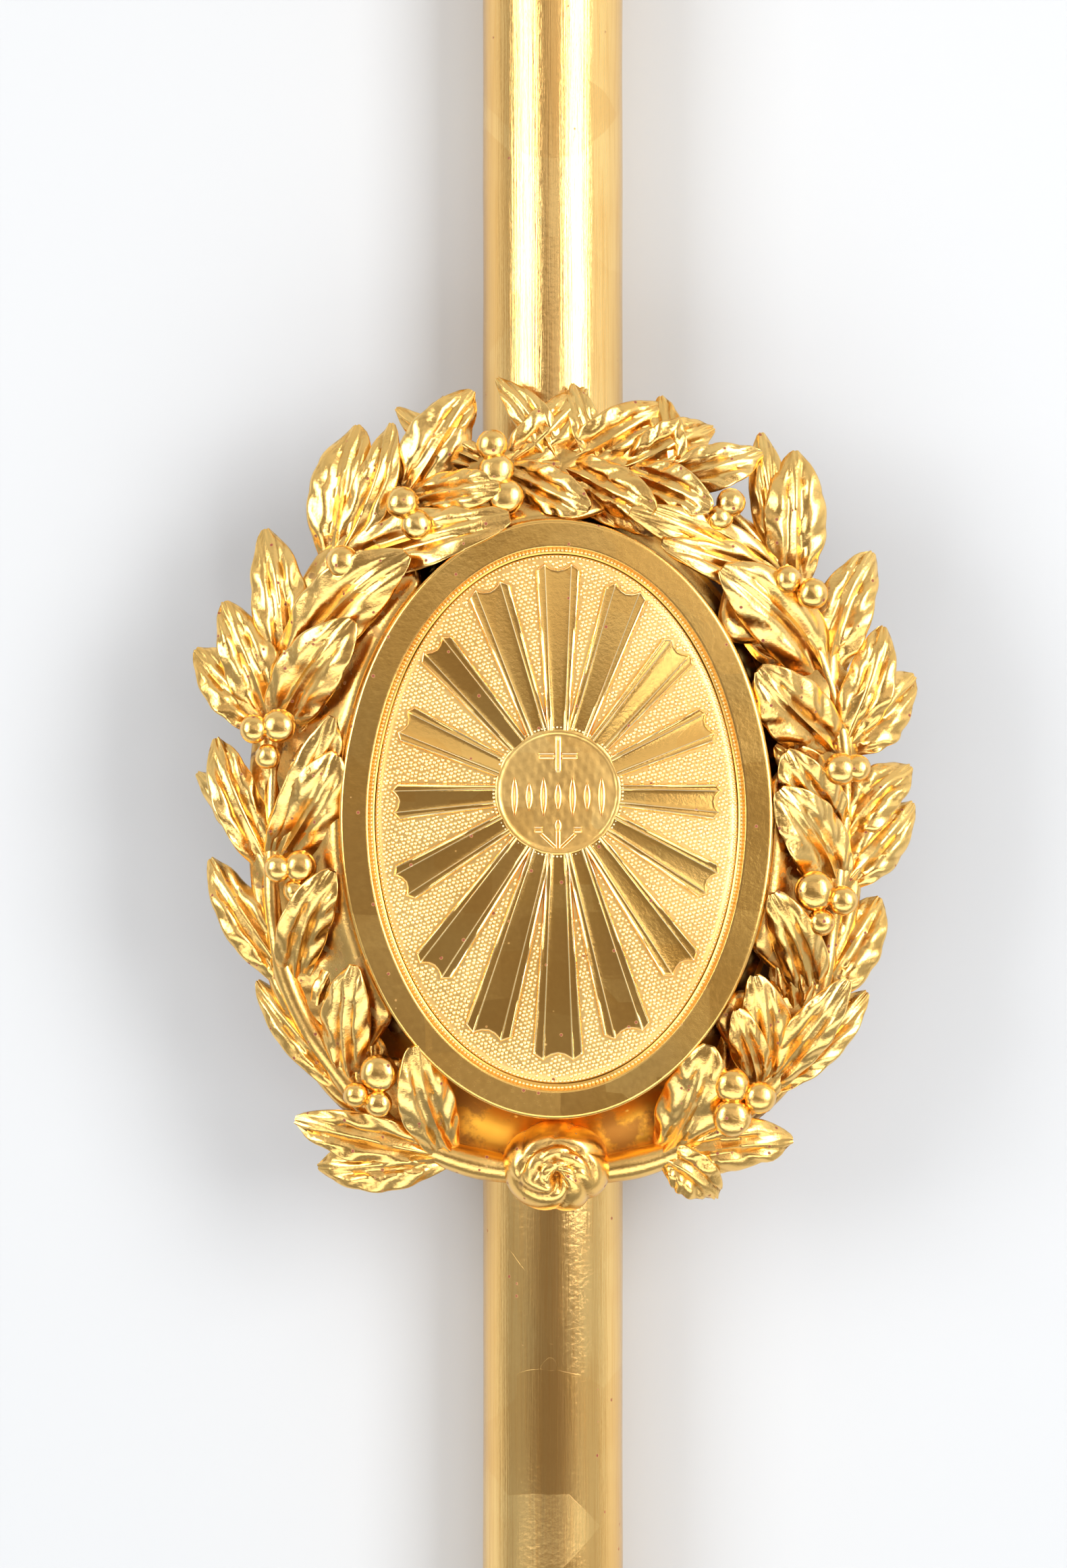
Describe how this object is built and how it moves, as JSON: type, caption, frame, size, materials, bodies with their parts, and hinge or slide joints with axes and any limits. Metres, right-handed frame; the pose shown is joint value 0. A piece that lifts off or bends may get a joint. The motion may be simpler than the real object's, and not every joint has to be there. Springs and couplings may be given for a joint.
{
  "type": "processional cross",
  "caption": "Gilded wooden processional cross with a round pole and an oval sunburst medallion framed by a carved laurel wreath.",
  "frame": {"origin": "middle of the cross's length and width, on the surface that its back lies on", "axes": "+Y from foot to head along the pole, +X to the right as the medallion is seen, +Z out of the medallion's face"},
  "size_m": [0.6, 1.18, 0.0767],
  "materials": {
    "burnished_gold": "water-gilded and burnished gold leaf over red bole on wood, with leaf laps and fine scratches",
    "rim_gold": "burnished gold leaf on wood, olive where it reflects the dark room, unburnished brown backing behind",
    "panel_gold": "gilded panel with burnished rays on a punched matt ground",
    "carved_gold": "gilded carved wood, soft gesso forms, red bole and dirt in the hollows"
  },
  "bodies": {
    "root": {"upright": "burnished_gold", "crossbar": "burnished_gold", "medallion_frame": "rim_gold", "medallion_panel": "panel_gold", "wreath": "carved_gold"}
  },
  "joints": []
}
